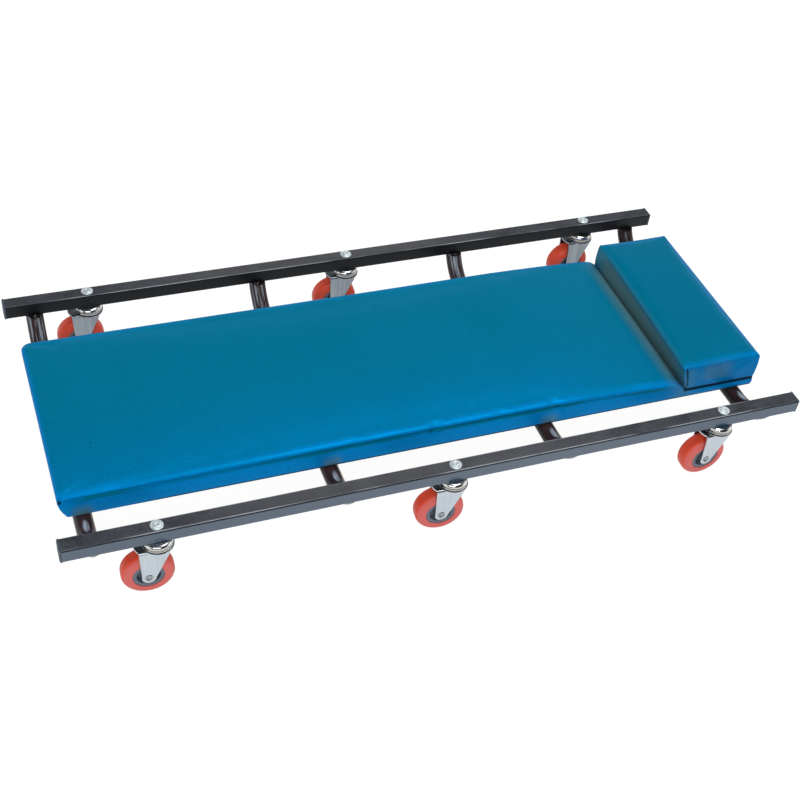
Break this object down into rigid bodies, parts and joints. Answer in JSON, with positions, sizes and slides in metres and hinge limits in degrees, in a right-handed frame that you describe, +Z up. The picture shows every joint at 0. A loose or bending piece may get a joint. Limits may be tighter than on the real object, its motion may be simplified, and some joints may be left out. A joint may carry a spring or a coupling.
{
  "type": "mechanic creeper",
  "caption": "Low rolling creeper: square side rails on swivel casters, bent cross tubes under a padded deck and a raised padded headrest.",
  "frame": {"origin": "on the floor under the middle of the frame", "axes": "+X along the rails to the head end, +Y to the left rail, +Z up"},
  "size_m": [1, 0.4766, 0.1243],
  "materials": {
    "frame_black": "satin black powder coat",
    "cap_plastic": "fine black",
    "plywood": "raw plywood",
    "foam": "open-cell foam",
    "vinyl": "satin teal-blue vinyl with a fine grain",
    "zinc": "bright zinc plating",
    "steel": "plain steel",
    "hub_plastic": "dark grey moulded plastic",
    "tyre_red": "smooth coral red"
  },
  "bodies": {
    "frame": {"rail_left": "frame_black", "rail_right": "frame_black", "cap_foot_left": "cap_plastic", "cap_foot_right": "cap_plastic", "cap_head_left": "cap_plastic", "cap_head_right": "cap_plastic", "cross_tube_1": "frame_black", "cross_tube_2": "frame_black", "cross_tube_3": "frame_black", "cross_tube_4": "frame_black", "deck_board": "plywood", "deck_foam": "foam", "deck_cover": "vinyl", "headrest_board": "plywood", "headrest_foam": "foam", "headrest_cover": "vinyl", "deck_screws": "zinc", "deck_tee_nuts": "steel", "headrest_screws": "zinc", "cover_staples": "steel", "caster_bolts": "zinc", "caster_nuts": "zinc", "caster_kingpins": "steel", "caster_foot_left_cup": "zinc", "caster_foot_left_balls": "steel", "caster_foot_right_cup": "zinc", "caster_foot_right_balls": "steel", "caster_middle_left_cup": "zinc", "caster_middle_left_balls": "steel", "caster_middle_right_cup": "zinc", "caster_middle_right_balls": "steel", "caster_head_left_cup": "zinc", "caster_head_left_balls": "steel", "caster_head_right_cup": "zinc", "caster_head_right_balls": "steel"},
    "fork_foot_left": {"caster_foot_left_fork": "zinc", "caster_foot_left_axle": "zinc"},
    "wheel_foot_left": {"caster_foot_left_hub": "hub_plastic", "caster_foot_left_tyre": "tyre_red"},
    "fork_foot_right": {"caster_foot_right_fork": "zinc", "caster_foot_right_axle": "zinc"},
    "wheel_foot_right": {"caster_foot_right_hub": "hub_plastic", "caster_foot_right_tyre": "tyre_red"},
    "fork_middle_left": {"caster_middle_left_fork": "zinc", "caster_middle_left_axle": "zinc"},
    "wheel_middle_left": {"caster_middle_left_hub": "hub_plastic", "caster_middle_left_tyre": "tyre_red"},
    "fork_middle_right": {"caster_middle_right_fork": "zinc", "caster_middle_right_axle": "zinc"},
    "wheel_middle_right": {"caster_middle_right_hub": "hub_plastic", "caster_middle_right_tyre": "tyre_red"},
    "fork_head_left": {"caster_head_left_fork": "zinc", "caster_head_left_axle": "zinc"},
    "wheel_head_left": {"caster_head_left_hub": "hub_plastic", "caster_head_left_tyre": "tyre_red"},
    "fork_head_right": {"caster_head_right_fork": "zinc", "caster_head_right_axle": "zinc"},
    "wheel_head_right": {"caster_head_right_hub": "hub_plastic", "caster_head_right_tyre": "tyre_red"}
  },
  "joints": [
    {"name": "swivel_foot_left", "type": "hinge", "parent": "frame", "child": "fork_foot_left", "pos_m": [-0.386, 0.2185, 0.0885], "axis": [0, 0, 1], "continuous": true},
    {"name": "spin_foot_left", "type": "hinge", "parent": "fork_foot_left", "child": "wheel_foot_left", "pos_m": [-0.39948, 0.21921, 0.0325], "axis": [0.0523, 0.9986, 0], "continuous": true},
    {"name": "swivel_foot_right", "type": "hinge", "parent": "frame", "child": "fork_foot_right", "pos_m": [-0.386, -0.2185, 0.0885], "axis": [0, 0, 1], "continuous": true},
    {"name": "spin_foot_right", "type": "hinge", "parent": "fork_foot_right", "child": "wheel_foot_right", "pos_m": [-0.39948, -0.21779, 0.0325], "axis": [0.0523, 0.9986, 0], "continuous": true},
    {"name": "swivel_middle_left", "type": "hinge", "parent": "frame", "child": "fork_middle_left", "pos_m": [-0.009, 0.2185, 0.0885], "axis": [0, 0, 1], "continuous": true},
    {"name": "spin_middle_left", "type": "hinge", "parent": "fork_middle_left", "child": "wheel_middle_left", "pos_m": [-0.02245, 0.21968, 0.0325], "axis": [0.0872, 0.9962, 0], "continuous": true},
    {"name": "swivel_middle_right", "type": "hinge", "parent": "frame", "child": "fork_middle_right", "pos_m": [-0.009, -0.2185, 0.0885], "axis": [0, 0, 1], "continuous": true},
    {"name": "spin_middle_right", "type": "hinge", "parent": "fork_middle_right", "child": "wheel_middle_right", "pos_m": [-0.02245, -0.21732, 0.0325], "axis": [0.0872, 0.9962, 0], "continuous": true},
    {"name": "swivel_head_left", "type": "hinge", "parent": "frame", "child": "fork_head_left", "pos_m": [0.383, 0.2185, 0.0885], "axis": [0, 0, 1], "continuous": true},
    {"name": "spin_head_left", "type": "hinge", "parent": "fork_head_left", "child": "wheel_head_left", "pos_m": [0.3695, 0.21826, 0.0325], "axis": [-0.0175, 0.9998, 0], "continuous": true},
    {"name": "swivel_head_right", "type": "hinge", "parent": "frame", "child": "fork_head_right", "pos_m": [0.383, -0.2185, 0.0885], "axis": [0, 0, 1], "continuous": true},
    {"name": "spin_head_right", "type": "hinge", "parent": "fork_head_right", "child": "wheel_head_right", "pos_m": [0.3695, -0.21874, 0.0325], "axis": [-0.0175, 0.9998, 0], "continuous": true}
  ]
}
